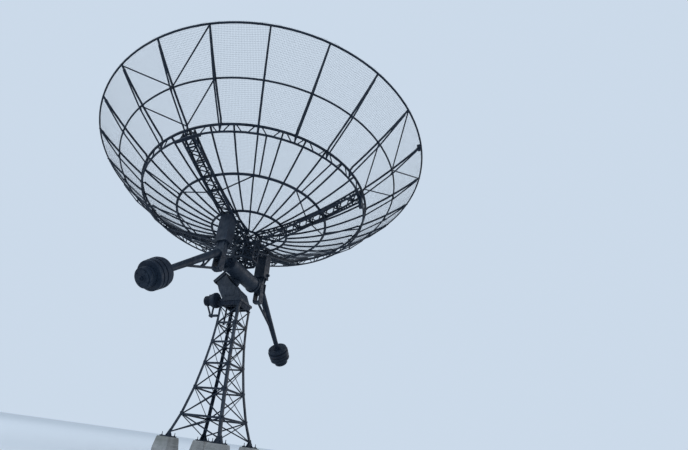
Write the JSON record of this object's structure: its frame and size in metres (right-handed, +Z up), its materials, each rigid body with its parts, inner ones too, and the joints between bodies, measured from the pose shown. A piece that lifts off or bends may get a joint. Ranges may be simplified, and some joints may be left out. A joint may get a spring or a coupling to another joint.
{
  "type": "radio telescope dish",
  "caption": "Wire-mesh radio dish on an equatorial mount and a lattice tower with concrete footings.",
  "frame": {"origin": "on the ground under the tower's axis, below the middle of the dish", "axes": "+Z up; +X towards the side to which the polar axis rises; the declination axis lies along Y"},
  "size_m": [9, 9, 7.172],
  "materials": {
    "steel_paint": "satin weathered paint",
    "dark_paint": "matt weathered paint",
    "wire_mesh": "weathered galvanised wire",
    "footing_concrete": "cast concrete, weathered"
  },
  "bodies": {
    "tower": {"drive_unit": "dark_paint", "footing_1": "footing_concrete", "footing_2": "footing_concrete", "footing_3": "footing_concrete", "footing_4": "footing_concrete", "head_frame": "steel_paint", "head_plate": "steel_paint", "housing_roof": "steel_paint", "polar_housing": "steel_paint", "tower_bracing_1": "steel_paint", "tower_bracing_2": "steel_paint", "tower_bracing_3": "steel_paint", "tower_bracing_4": "steel_paint", "tower_leg_1": "steel_paint", "tower_leg_2": "steel_paint", "tower_leg_3": "steel_paint", "tower_leg_4": "steel_paint"},
    "polar": {"declination_tube": "steel_paint", "polar_shaft": "steel_paint"},
    "dish": {"beam_back": "steel_paint", "beam_left": "steel_paint", "beam_polar_side": "steel_paint", "beam_right": "steel_paint", "column_left": "steel_paint", "column_right": "steel_paint", "counterweight_arm_left": "steel_paint", "counterweight_arm_right": "steel_paint", "counterweight_left": "dark_paint", "counterweight_right": "dark_paint", "hub_drum": "steel_paint", "inner_frame_1": "steel_paint", "inner_frame_2": "steel_paint", "inner_frame_3": "steel_paint", "inner_frame_4": "steel_paint", "outer_frame_1": "steel_paint", "outer_frame_2": "steel_paint", "outer_frame_3": "steel_paint", "outer_frame_4": "steel_paint", "screen_inner_1": "wire_mesh", "screen_inner_2": "wire_mesh", "screen_inner_3": "wire_mesh", "screen_inner_4": "wire_mesh", "screen_outer_1": "wire_mesh", "screen_outer_2": "wire_mesh", "screen_outer_3": "wire_mesh", "screen_outer_4": "wire_mesh"}
  },
  "joints": [
    {"name": "hour_angle", "type": "hinge", "parent": "tower", "child": "polar", "pos_m": [0, 0, 4.05], "axis": [0.7604, 0, 0.6494], "range_deg": [-50, 50]},
    {"name": "declination", "type": "hinge", "parent": "polar", "child": "dish", "pos_m": [0, 0, 4.05], "axis": [0, 1, 0], "range_deg": [-35, 50]}
  ]
}
